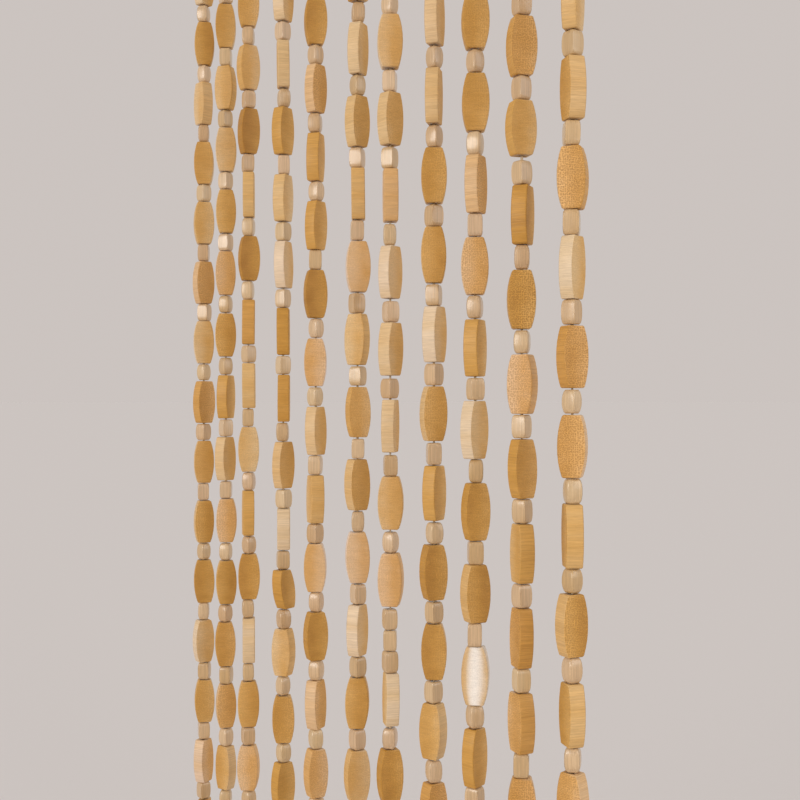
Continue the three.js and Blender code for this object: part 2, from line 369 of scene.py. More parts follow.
def fill_ring(bm, outline, rim):
    """Fills the flat ring between a bead's outline and its bore, from angle to angle."""
    loops = [sorted(loop, key=angle_round_bore) for loop in (outline, rim)]
    done = [0, 0]

    def vert_at(which, step):
        return loops[which][step % len(loops[which])]

    def next_angle(which):
        step, count = done[which] + 1, len(loops[which])
        if step > count:
            return math.inf
        return angle_round_bore(vert_at(which, step)) + (2 * math.pi if step == count else 0)

    for _ in range(len(outline) + len(rim)):
        corners = [vert_at(0, done[0]), vert_at(1, done[1])]
        which = 0 if next_angle(0) < next_angle(1) else 1
        done[which] += 1
        bm.faces.new((*corners, vert_at(which, done[which])))


def drill(bm, half_length, radius):
    """A hole right through a bead, along its string."""
    rims = []
    for end in end_faces(bm, half_length):
        height = end.calc_center_median().z
        outline = list(end.verts)
        bmesh.ops.delete(bm, geom=[end], context="FACES_ONLY")
        rim = bmesh.ops.create_circle(bm, segments=BORE_SIDES, radius=radius)["verts"]
        bmesh.ops.translate(bm, verts=rim, vec=(0, 0, height))
        fill_ring(bm, outline, rim)
        rims.append(rim)
    upper, lower = rims
    for here in range(BORE_SIDES):
        there = (here + 1) % BORE_SIDES
        bm.faces.new((upper[here], upper[there], lower[there], lower[here]))
    bmesh.ops.recalc_face_normals(bm, faces=bm.faces)


def long_half_width(share):
    """Half the long bead's width at a height from -1 to 1 of its half length."""
    ends, middle = LONG_BEAD["end_width"] / 2, LONG_BEAD["middle_width"] / 2
    return ends + (middle - ends) * (1 - abs(share) ** LONG_BULGE_POWER)


def long_bead_form():
    """A slab with a barrel outline: its faces look along Y and it is threaded along Z."""
    half = LONG_BEAD["length"] / 2
    bm = bmesh.new()
    bmesh.ops.create_grid(bm, x_segments=1, y_segments=LONG_ROWS, size=1)
    for vert in bm.verts:
        width = vert.co.x * long_half_width(vert.co.y)
        vert.co = (width, -LONG_BEAD["thickness"] / 2, vert.co.y * half)
    bmesh.ops.recalc_face_normals(bm, faces=bm.faces)
    slab = bmesh.ops.extrude_face_region(bm, geom=list(bm.faces), use_keep_orig=True)
    moved = [v for v in slab["geom"] if isinstance(v, bmesh.types.BMVert)]
    bmesh.ops.translate(bm, verts=moved, vec=(0, LONG_BEAD["thickness"], 0))
    bmesh.ops.recalc_face_normals(bm, faces=bm.faces)
    sharp = [e for e in bm.edges if e.calc_face_angle(0) > SHARP_ANGLE]
    bmesh.ops.bevel(
        bm, geom=sharp, offset=LONG_ROUNDING, segments=1, profile=0.5, affect="EDGES", material=-1,
    )
    drill(bm, half, BORE_RADIUS)
    return bm


def short_bead_form(wear):
    """A square peg with worn corners and ends, threaded along Z."""
    half = SHORT_BEAD["length"] / 2
    bm = bmesh.new()
    bmesh.ops.create_cube(bm, size=1)
    width = SHORT_BEAD["width"]
    bmesh.ops.scale(bm, verts=bm.verts, vec=(width, width, SHORT_BEAD["length"]))
    upright = [e for e in bm.edges if abs((e.verts[0].co - e.verts[1].co).normalized().z) > STEEP]
    bmesh.ops.bevel(
        bm, geom=upright, offset=SHORT_BEVEL, segments=1, profile=0.5, affect="EDGES", material=-1,
    )
    levels = [sign * row["share"] for row in wear[:-1] for sign in (-1, 1)]
    for level in levels:
        whole = list(bm.verts) + list(bm.edges) + list(bm.faces)
        bmesh.ops.bisect_plane(bm, geom=whole, plane_co=(0, 0, level * half), plane_no=(0, 0, 1))
    for vert in bm.verts:
        row = min(wear, key=lambda row: abs(row["share"] - abs(vert.co.z) / half))
        narrow = math.sqrt(2) * row["corner"] - row["flat"]
        wide_x = abs(vert.co.x) > abs(vert.co.y)
        vert.co.x = math.copysign(row["flat"] if wide_x else narrow, vert.co.x)
        vert.co.y = math.copysign(narrow if wide_x else row["flat"], vert.co.y)
    drill(bm, half, BORE_RADIUS)
    return bm


def mesh_of(form, name, half_widths, half_thickness, half_length):
    """The form as a mesh that also holds each point's place on the bead, from -1 to 1 each way."""
    share = form.verts.layers.float_vector.new("bead_share")
    for vert in form.verts:
        half_width = half_widths(vert.co.z / half_length)
        vert[share] = (vert.co.x / half_width, vert.co.y / half_thickness, vert.co.z / half_length)
    mesh = bpy.data.meshes.new(name)
    form.to_mesh(mesh)
    form.free()
    return mesh


def thread_bead(bm, form, size, turn, lean, offset, centre, number, wood):
    """Adds one bead to a strand: size stretches the form, and wood goes with it for its colour.

    The bead hangs a little askew and off its string, but its bore stays round the string.
    """
    first = len(bm.verts)
    bm.from_mesh(form)
    bm.verts.ensure_lookup_table()
    verts = bm.verts[first:]
    place = bm.verts.layers.float_vector["grain_place"]
    tone = bm.verts.layers.float_vector["wood"]
    bore = [vert for vert in verts if math.hypot(vert.co.x, vert.co.y) < BORE_REACH]
    body = [vert for vert in verts if math.hypot(vert.co.x, vert.co.y) >= BORE_REACH]
    bmesh.ops.scale(bm, verts=verts, vec=size)
    for vert in verts:
        vert[place] = vert.co + GRAIN_STEP * number
        vert[tone] = wood
    shear = Matrix.Identity(4)
    shear[0][2], shear[1][2] = lean
    spot = Matrix.Scale(MM, 4) @ Matrix.Translation(centre)
    turned = Matrix.Rotation(turn, 4, UP)
    aside = Matrix.Translation((*offset, 0))
    bmesh.ops.transform(bm, matrix=spot @ turned, verts=bore)
    bmesh.ops.transform(bm, matrix=spot @ aside @ shear @ turned, verts=body)


def new_strand_mesh():
    bm = bmesh.new()
    bm.verts.layers.float_vector.new("grain_place")
    bm.verts.layers.float_vector.new("bead_share")
    bm.verts.layers.float_vector.new("wood")
    return bm


# ---------------------------------------------------------------------------------------------
# The strands
# ---------------------------------------------------------------------------------------------

SPAN = (len(STRANDS) - 1) * STRAND_SPACING


def strand_place(strand):
    return SPAN / 2 - strand * STRAND_SPACING + STRANDS[strand]["shift"]


def long_bead_wood(strand, number):
    picked = [wood for wood, beads in PICKED_WOODS.items() if (strand, number) in beads]
    draw = (scatter(strand, number, "wood") + 1) / 2 * len(COMMON_WOODS)
    wood = WOODS[picked[0] if picked else COMMON_WOODS[int(draw)]]
    middles = [wood[quality] for quality in WOOD_QUALITIES]
    return strayed(strand, number, middles, LONG_WOOD_STRAY)


def rind_is_left(strand, number):
    if (strand, number) in RIND_RIGHT:
        return False
    return (strand, number) in RIND_LEFT or scatter(strand, number, "rind") > 0


def stray_of(strand, number):
    """How one bead strays: its size, its offset from the string and how it leans on it."""
    def both_ways(quality):
        return Vector([scatter(strand, number, f"{quality}_{axis}") for axis in "xy"])

    return {
        "width": 1 + STRAY["width"] * scatter(strand, number, "width"),
        "thickness": 1 + STRAY["thickness"] * scatter(strand, number, "thickness"),
        "length": STRAY["length"] * scatter(strand, number, "length"),
        "turn": math.radians(STRAY["turn_degrees"] * scatter(strand, number, "turn")),
        "offset": STRAY["offset"] * both_ways("offset"),
        "lean": STRAY["lean"] * both_ways("lean"),
    }


def long_length_of(strand):
    """How long the long beads of one strand are: a little less where it is closely threaded."""
    return min(LONG_BEAD["length"], STRANDS[strand]["pitch"] - SHORT_STEP - BEAD_GAP)


def thread_long(bm, form, strand, number, x, top):
    odd = ODD_BEADS.get((strand, number), PLAIN_BEAD)
    stray = stray_of(strand, number)
    to_viewer = math.atan2(VIEW_SPOT["x"] - x, -VIEW_SPOT["y"])
    steps = TURN_LETTERS.index(STRANDS[strand]["turns"][number]) - TURN_LETTERS.index("0")
    turn = to_viewer + math.radians(steps * TURN_STEP) + stray["turn"]
    rind_turn = math.pi if rind_is_left(strand, number) else 0
    askew = math.tan(math.radians(odd["lean_degrees"]))
    lean = stray["lean"] - askew * Vector((math.cos(turn), math.sin(turn)))
    room = long_length_of(strand) - odd["shorter"]
    size = (stray["width"], stray["thickness"], (room + stray["length"]) / LONG_BEAD["length"])
    centre = (x, 0, top - room / 2)
    wood = long_bead_wood(strand, number)
    thread_bead(bm, form, size, turn + rind_turn, lean, stray["offset"], centre, number + 1, wood)


def thread_short(bm, forms, strand, number, x, top):
    stray = stray_of(strand, SHORT_NUMBERS + number)
    worn = (scatter(strand, SHORT_NUMBERS + number, "wear") + 1) / 2
    form = forms["square"] if worn < SQUARE_SHARE else forms["round"]
    turn = math.pi * scatter(strand, SHORT_NUMBERS + number, "turn")
    length = SHORT_BEAD["length"] + stray["length"]
    size = (stray["width"], stray["width"], length / SHORT_BEAD["length"])
    centre = (x, 0, top - SHORT_BEAD["length"] / 2)
    wood = strayed(strand, SHORT_NUMBERS + number, SHORT_WOOD, SHORT_WOOD_STRAY)
    thread_bead(bm, form, size, turn, stray["lean"], stray["offset"], centre, number + 1, wood)


def make_strand(strand, long_form, short_forms):
    """The long beads and the short beads of one strand, and how far down it ends."""
    row = STRANDS[strand]
    x = strand_place(strand)
    long_length = long_length_of(strand)
    even_slack = row["pitch"] - long_length - SHORT_STEP - BEAD_GAP
    longs, shorts = new_strand_mesh(), new_strand_mesh()
    level = -HEADING["height"] - row["bare"]
    threaded = 0
    for _ in range(row["lead"]):
        thread_short(shorts, short_forms, strand, threaded, x, level - BEAD_GAP / 2)
        level -= SHORT_STEP
        threaded += 1
    for number in range(len(row["turns"])):
        thread_long(longs, long_form, strand, number, x, level - BEAD_GAP / 2)
        odd = ODD_BEADS.get((strand, number), PLAIN_BEAD)
        level -= long_length - odd["shorter"] + BEAD_GAP + even_slack + odd["slack"]
        for _ in range(1 + odd["more_shorts"]):
            thread_short(shorts, short_forms, strand, threaded, x, level - BEAD_GAP / 2)
            level -= SHORT_STEP
            threaded += 1
    finish_piece(piece_from(longs, f"long_beads_{strand + 1:02d}", [bamboo]))
    finish_piece(piece_from(shorts, f"short_beads_{strand + 1:02d}", [pale_bamboo]))
    return level


# ---------------------------------------------------------------------------------------------
# Strings and knots
# ---------------------------------------------------------------------------------------------

KNOT_POINTS = 36
KNOT_LOOP = 2.0
# How thick the string is where a knot draws it tight, against elsewhere.
KNOT_SQUEEZE = 0.8
# How much further the lower knot of a string is turned than its upper one, in radians.
KNOT_TURN = 0.5
STRING_TOP = -1.0
# Where a string is seen, its rings are close together. They start and end a little inside the
# heading and the beads. The rings inside the beads are far apart, and start and end far inside.
FINE_STEP = 0.28
COARSE_STEP = LONG_BEAD["length"] / 2
FINE_INSET = 1
COARSE_INSET = 6
HOLE_RADIUS = 1.4
HOLE_SIDES = 20
SEAT = {"radius": 3.2, "depth": 4.2}
# How far the drilling tools stick out of the wood.
TOOL_EXCESS = 1


def twisted_string(bm, x, heights):
    """A two-ply string: a flattened ring drawn through the heights, turning as it goes."""
    ring = bmesh.ops.create_circle(
        bm, cap_ends=True, segments=STRING["sides"], radius=STRING["radius"],
    )["verts"]
    bmesh.ops.scale(bm, verts=ring, vec=(1, STRING["flatness"], 1))
    bmesh.ops.translate(bm, verts=ring, vec=(x, 0, heights[0]))
    edges = list(dict.fromkeys(edge for vert in ring for edge in vert.link_edges))
    for above, below in zip(heights, heights[1:]):
        drawn = bmesh.ops.extrude_edge_only(bm, edges=edges)["geom"]
        verts = [v for v in drawn if isinstance(v, bmesh.types.BMVert)]
        edges = [e for e in drawn if isinstance(e, bmesh.types.BMEdge)]
        bmesh.ops.translate(bm, verts=verts, vec=(0, 0, below - above))
        turn = Matrix.Rotation(2 * math.pi * (above - below) / STRING["twist_pitch"], 3, UP)
        bmesh.ops.rotate(bm, verts=verts, cent=(x, 0, below), matrix=turn)
    bmesh.ops.contextual_create(bm, geom=edges)


def knot_curve(radius, height):
    """The loops of an overhand knot, as a closed curve with the string's thickness."""
    curve = bpy.data.curves.new("knot", "CURVE")
    curve.dimensions = "3D"
    curve.bevel_depth = STRING["radius"] * KNOT_SQUEEZE
    curve.bevel_resolution = 1
    spline = curve.splines.new("POLY")
    spline.points.add(KNOT_POINTS - 1)
    spline.use_cyclic_u = True
    reach = radius / (1 + KNOT_LOOP)
    for i, point in enumerate(spline.points):
        t = 2 * math.pi * i / KNOT_POINTS
        point.co = (
            reach * (math.sin(t) + KNOT_LOOP * math.sin(2 * t)),
            reach * (math.cos(t) - KNOT_LOOP * math.cos(2 * t)),
            -height / 4 * math.sin(3 * t),
            1,
        )
    holder = bpy.data.objects.new("knot", curve)
    mesh = bpy.data.meshes.new_from_object(holder)
    bpy.data.objects.remove(holder)
    return mesh


def add_knot(bm, knot, place, turn):
    first = len(bm.verts)
    bm.from_mesh(knot)
    bm.verts.ensure_lookup_table()
    spot = Matrix.Translation(place) @ Matrix.Rotation(turn, 4, UP)
    bmesh.ops.transform(bm, matrix=spot, verts=bm.verts[first:])


def steps_between(high, low, step):
    count = max(1, round((high - low) / step))
    return [high + (low - high) * i / count for i in range(count + 1)]


def make_strings(ends):
    """Every strand's string, from its knot in the heading's top to the one under its last bead."""
    bm = bmesh.new()
    knot = knot_curve(KNOT["radius"], KNOT["height"])
    for strand, end in enumerate(ends):
        x = strand_place(strand)
        first_bead = -HEADING["height"] - STRANDS[strand]["bare"]
        heights = [STRING_TOP]
        heights += steps_between(-HEADING["height"] + FINE_INSET, first_bead - FINE_INSET, FINE_STEP)
        heights += steps_between(first_bead - COARSE_INSET, end + COARSE_INSET, COARSE_STEP)
        heights += steps_between(end + FINE_INSET, end - KNOT["height"] - KNOT["tail"], FINE_STEP)
        twisted_string(bm, x, heights)
        add_knot(bm, knot, (x, 0, -SEAT["depth"] + KNOT["height"] / 2), strand)
        add_knot(bm, knot, (x, 0, end - KNOT["height"] / 2), strand + KNOT_TURN)
    bmesh.ops.scale(bm, verts=bm.verts, vec=(MM, MM, MM))
    bmesh.ops.recalc_face_normals(bm, faces=bm.faces)
    finish_piece(piece_from(bm, "strings", [string_fibre]))


# ---------------------------------------------------------------------------------------------
# Heading strip
# ---------------------------------------------------------------------------------------------

def make_holes():
    """A hole for each string through the strip, with a seat for its knot at the top."""
    bm = bmesh.new()
    for strand in range(len(STRANDS)):
        for radius, top, bottom in (
            (HOLE_RADIUS, TOOL_EXCESS, -HEADING["height"] - TOOL_EXCESS),
            (SEAT["radius"], TOOL_EXCESS, -SEAT["depth"]),
        ):
            tool = bmesh.ops.create_cone(
                bm, cap_ends=True, segments=HOLE_SIDES, radius1=radius, radius2=radius,
                depth=top - bottom,
            )["verts"]
            bmesh.ops.translate(bm, verts=tool, vec=(strand_place(strand), 0, (top + bottom) / 2))
    bmesh.ops.scale(bm, verts=bm.verts, vec=(MM, MM, MM))
    return piece_from(bm, "string_holes", [])


def make_heading():
    width = SPAN + 2 * HEADING["overhang"]
    bm = bmesh.new()
    bmesh.ops.create_cube(bm, size=1)
    bmesh.ops.scale(bm, verts=bm.verts, vec=(width, HEADING["depth"], HEADING["height"]))
    bmesh.ops.translate(bm, verts=bm.verts, vec=(0, 0, -HEADING["height"] / 2))
    bmesh.ops.bevel(
        bm, geom=list(bm.edges), offset=HEADING["rounding"], segments=3, profile=0.5, affect="EDGES",
        material=-1,
    )
    bmesh.ops.scale(bm, verts=bm.verts, vec=(MM, MM, MM))
    heading = piece_from(bm, "heading_strip", [heading_wood])
    holes = make_holes()
    drilled = heading.modifiers.new("string_holes", "BOOLEAN")
    drilled.operation = "DIFFERENCE"
    drilled.solver = "EXACT"
    drilled.use_self = True
    drilled.object = holes
    depsgraph = bpy.context.evaluated_depsgraph_get()
    mesh = bpy.data.meshes.new_from_object(heading.evaluated_get(depsgraph))
    heading.modifiers.clear()
    heading.data = mesh
    bpy.data.objects.remove(holes)
    finish_piece(heading)
    for edge in heading.data.edges:
        edge.use_edge_sharp = False
    heading.data.set_sharp_from_angle(angle=SHARP_ANGLE)


# ---------------------------------------------------------------------------------------------
# Materials
# ---------------------------------------------------------------------------------------------

# Cut bamboo. Its fibre bundles: how far apart and how disorderly they are, and from where to where
# the dark dot in the middle of each one ends and the pale pith round it begins, as shares of the
# spacing.
BUNDLES = {"spacing": 0.78, "disorder": 0.52, "dot": (0.16, 0.42), "pith": (0.36, 0.62)}
# How slowly the wood changes along its fibres, against across them.
FIBRE_STRETCH = 0.022
STREAKS = {"scale": 2.3, "detail": 3, "roughness": 0.62}
DRIFT = {"scale": 0.11, "detail": 2}
# Faint level lines that the saw left, in bands along the bead's length.
SAW_MARKS = {"scale": 2.2, "stretch": (0.08, 0.08, 1), "tones": (0.35, 0.65, 0.95, 1.05)}

# How each wood looks. lines: between which levels of its streaks it gets lighter, and how dark and
# how light. drift: how uneven its broad drift makes it. tones: the same for the heading, as levels
# of the drift and the tones between which it goes. dots: how strongly the fibres' ends show.
# rough: its least roughness. bump: its depth in metres and its strength. sunk: how deep the
# bundles lie in it. coat: lacquer.
LONG_LOOK = {
    "lines": (0.32, 0.70, 0.90, 1.07), "drift": 0.32, "rough": 0.26, "rough_streaks": 0.35,
    "rough_faces": 0.12, "bump": (0.00012, 0.8), "sunk": 0.5, "specular": 0.22, "coat_roughness": 0.22,
}
SHORT_LOOK = {
    "lines": (0.35, 0.68, 0.86, 1.10), "drift": 0.8, "blush": 0.5, "dots": 0.35, "rough": 0.2,
    "rough_streaks": 0.25, "bump": (0.00008, 0.7), "sunk": 0.3, "coat": 0.5, "coat_roughness": 0.18,
}
HEADING_LOOK = {
    "lines": (0.35, 0.68, 0.82, 1.10), "tones": (0.3, 0.7, 0.15, 0.65), "dots": 0.3,
    "rough": 0.28, "rough_streaks": 0.3, "bump": (0.00015, 0.7), "coat": 0.2, "coat_roughness": 0.3,
}
STRING_LOOK = {
    "dark": (0.40, 0.29, 0.18), "light": (0.78, 0.63, 0.44), "bump": (0.0001, 0.8), "rough": 0.9,
    "sheen": 0.3,
}
STRING_FUZZ = {"scale": 2600, "detail": 3}
# What a place on a short bead, in millimetres, or on the heading, in metres, is multiplied by.
SHORT_GRAIN = (1.3, 1.3, 1)
HEADING_GRAIN = (400, 900, 900)

# A long bead's bundles lie closer together towards its rind: at its edges they are shifted by this.
CROWDING = 1.4
# Where a long bead's face begins, from 0 in the middle of its thickness to 1 at its surface.
FACE_FROM = (0.92, 0.99)
# A long bead's face is browner towards its rind end: how much, between two places across it.
FACE_RIND = {"across": (-0.9, 0.6), "brown": (-0.05, 0.17)}
# The same for its sides: the inner one is paler and the one near the rind is browner and yellower.
SIDE_RIND = {"across": (-0.9, 0.9), "brown": (-0.25, 0.12), "yellow_across": (0.2, 0.9)}
WHITE = (1, 1, 1)
RIND = (1.02, 0.98, 0.72)
# A bead whose wood is less brown than the second number starts to be lacquered and to get a painted
# highlight, and below the first it gets them wholly. colour: the near-white painted highlight down its
# middle. edge: how brown its edges stay, as the painted highlight's falloff. fade: how fast the
# painted highlight ends towards them. coat: lacquer on such a bead and on any other.
LACQUER_AND_PAINTED_HIGHLIGHT = {
    "brown": (-0.10, 0.10), "colour": (0.88, 0.80, 0.72), "edge": 0.5, "fade": 2.2, "coat": (1.0, 0.06),
}
# From the pale inner wood, 0, to the darkest rind, 1.
BAMBOO_TONES = [
    (0.00, (0.70, 0.535, 0.350)),
    (0.12, (0.66, 0.460, 0.240)),
    (0.30, (0.64, 0.410, 0.180)),
    (0.50, (0.60, 0.338, 0.102)),
    (0.75, (0.51, 0.262, 0.057)),
    (1.00, (0.37, 0.170, 0.030)),
]
BLUSH = (1.03, 0.985, 1.22)
FIBRE_ENDS = (0.235, 0.098, 0.018)
# How strongly the fibres' ends show on a long bead's sides and on its faces.
CONTRAST = (0.13, 0.46)
# How much lighter the pith between them is, above a base: partly the pith's own paler colour and
# partly painted glints.
PITH_AND_PAINTED_GLINTS = {"share": 0.36, "base": 0.97}
# A short bead's wood, from the palest to the brownest, and its fibres' ends.
SAPWOOD = ((0.60, 0.425, 0.235), (0.485, 0.300, 0.125))
SAPWOOD_ENDS = (0.30, 0.17, 0.07)


def new_material(name):
    material = bpy.data.materials.new(name)
    material.use_nodes = True
    return material, material.node_tree.nodes, material.node_tree.links


def add_socket(group, name, in_out, kind):
    group.interface.new_socket(name=name, in_out=in_out, socket_type=kind)


def math_node(nodes, links, operation, first, second, clamp=False):
    node = nodes.new("ShaderNodeMath")
    node.operation = operation
    node.use_clamp = clamp
    for socket, value in zip(node.inputs, (first, second)):
        if isinstance(value, (int, float)):
            socket.default_value = value
        elif value is not None:
            links.new(value, socket)
    return node.outputs[0]


def times(nodes, links, first, second, clamp=False):
    return math_node(nodes, links, "MULTIPLY", first, second, clamp)


def plus(nodes, links, first, second, clamp=False):
    return math_node(nodes, links, "ADD", first, second, clamp)


def minus(nodes, links, first, second):
    return math_node(nodes, links, "SUBTRACT", first, second)


def ramp_between(nodes, links, value, low, high, to_low=0.0, to_high=1.0):
    """A smooth step of a value, from to_low at low to to_high at high."""
    node = nodes.new("ShaderNodeMapRange")
    node.interpolation_type = "SMOOTHSTEP"
    links.new(value, node.inputs["Value"])
    node.inputs["From Min"].default_value = low
    node.inputs["From Max"].default_value = high
    node.inputs["To Min"].default_value = to_low
    node.inputs["To Max"].default_value = to_high
    return node.outputs["Result"]


def mix_colours(nodes, links, factor, first, second, blend="MIX"):
    node = nodes.new("ShaderNodeMix")
    node.data_type = "RGBA"
    node.blend_type = blend
    if isinstance(factor, (int, float)):
        node.inputs[0].default_value = factor
    else:
        links.new(factor, node.inputs[0])
    for socket, value in ((node.inputs[6], first), (node.inputs[7], second)):
        if isinstance(value, tuple):
            socket.default_value = (*value, 1)
        else:
            links.new(value, socket)
    return node.outputs[2]


def tinted(nodes, links, colour, tint):
    return mix_colours(nodes, links, 1.0, colour, tint, "MULTIPLY")


def noise(nodes, links, place, scale, detail=2.0, roughness=0.5):
    """The value of a noise texture at a place."""
    node = nodes.new("ShaderNodeTexNoise")
    node.inputs["Scale"].default_value = scale
    node.inputs["Detail"].default_value = detail
    node.inputs["Roughness"].default_value = roughness
    links.new(place, node.inputs["Vector"])
    return node.outputs["Fac"]


def fibre_group():
    """Cut bamboo in millimetres: X and Y are across its fibre bundles and Z is along them.

    Bundles is 1 in their dark middles, Pith is 1 in the paler ground between them, Streaks and
    Drift are the fine and the broad unevenness along them.
    """
    group = bpy.data.node_groups.new("bamboo_fibre", "ShaderNodeTree")
    add_socket(group, "Place", "INPUT", "NodeSocketVector")
    add_socket(group, "Bundles", "OUTPUT", "NodeSocketFloat")
    add_socket(group, "Pith", "OUTPUT", "NodeSocketFloat")
    add_socket(group, "Streaks", "OUTPUT", "NodeSocketFloat")
    add_socket(group, "Drift", "OUTPUT", "NodeSocketFloat")
    nodes, links = group.nodes, group.links
    given = nodes.new("NodeGroupInput")
    made = nodes.new("NodeGroupOutput")
    bundles = nodes.new("ShaderNodeTexVoronoi")
    bundles.voronoi_dimensions = "2D"
    bundles.feature = "F1"
    bundles.inputs["Scale"].default_value = 1 / BUNDLES["spacing"]
    bundles.inputs["Randomness"].default_value = BUNDLES["disorder"]
    links.new(given.outputs["Place"], bundles.inputs["Vector"])
    lengthwise = scaled(nodes, links, given.outputs["Place"], (1, 1, FIBRE_STRETCH))
    apart = bundles.outputs["Distance"]
    links.new(ramp_between(nodes, links, apart, *BUNDLES["dot"], 1.0, 0.0), made.inputs["Bundles"])
    links.new(ramp_between(nodes, links, apart, *BUNDLES["pith"]), made.inputs["Pith"])
    links.new(noise(nodes, links, lengthwise, **STREAKS), made.inputs["Streaks"])
    links.new(noise(nodes, links, lengthwise, **DRIFT), made.inputs["Drift"])
    return group


def attribute(nodes, name):
    node = nodes.new("ShaderNodeAttribute")
    node.attribute_name = name
    return node.outputs["Vector"]


def split(nodes, links, vector):
    node = nodes.new("ShaderNodeSeparateXYZ")
    links.new(vector, node.inputs[0])
    return node.outputs


def joined(nodes, links, *values):
    node = nodes.new("ShaderNodeCombineXYZ")
    for socket, value in zip(node.inputs, values):
        links.new(value, socket)
    return node.outputs[0]


def scaled(nodes, links, vector, scale):
    node = nodes.new("ShaderNodeMapping")
    node.inputs["Scale"].default_value = scale
    links.new(vector, node.inputs["Vector"])
    return node.outputs["Vector"]


def placed_group(nodes, links, group, place):
    node = nodes.new("ShaderNodeGroup")
    node.node_tree = group
    links.new(place, node.inputs["Place"])
    return node.outputs


def colour_ramp(nodes, links, value, stops):
    node = nodes.new("ShaderNodeValToRGB")
    elements = node.color_ramp.elements
    while len(elements) < len(stops):
        elements.new(0.5)
    for element, (position, colour) in zip(elements, stops):
        element.position = position
        element.color = (*colour, 1)
    links.new(value, node.inputs[0])
    return node.outputs[0]


def bump_of(nodes, links, height, distance, strength):
    node = nodes.new("ShaderNodeBump")
    node.inputs["Distance"].default_value = distance
    node.inputs["Strength"].default_value = strength
    links.new(height, node.inputs["Height"])
    return node.outputs["Normal"]


def unevenness_of(nodes, links, drift, look):
    return times(nodes, links, minus(nodes, links, drift, 0.5), look["drift"])


def finish_wood(nodes, links, look, streaks, relief):
    """The roughness, relief and lacquer of a wood that has its colour."""
    shader = nodes["Principled BSDF"]
    rough = times(nodes, links, streaks, look["rough_streaks"])
    links.new(plus(nodes, links, rough, look["rough"]), shader.inputs["Roughness"])
    links.new(bump_of(nodes, links, relief, *look["bump"]), shader.inputs["Normal"])
    shader.inputs["Coat Weight"].default_value = look["coat"]
    shader.inputs["Coat Roughness"].default_value = look["coat_roughness"]


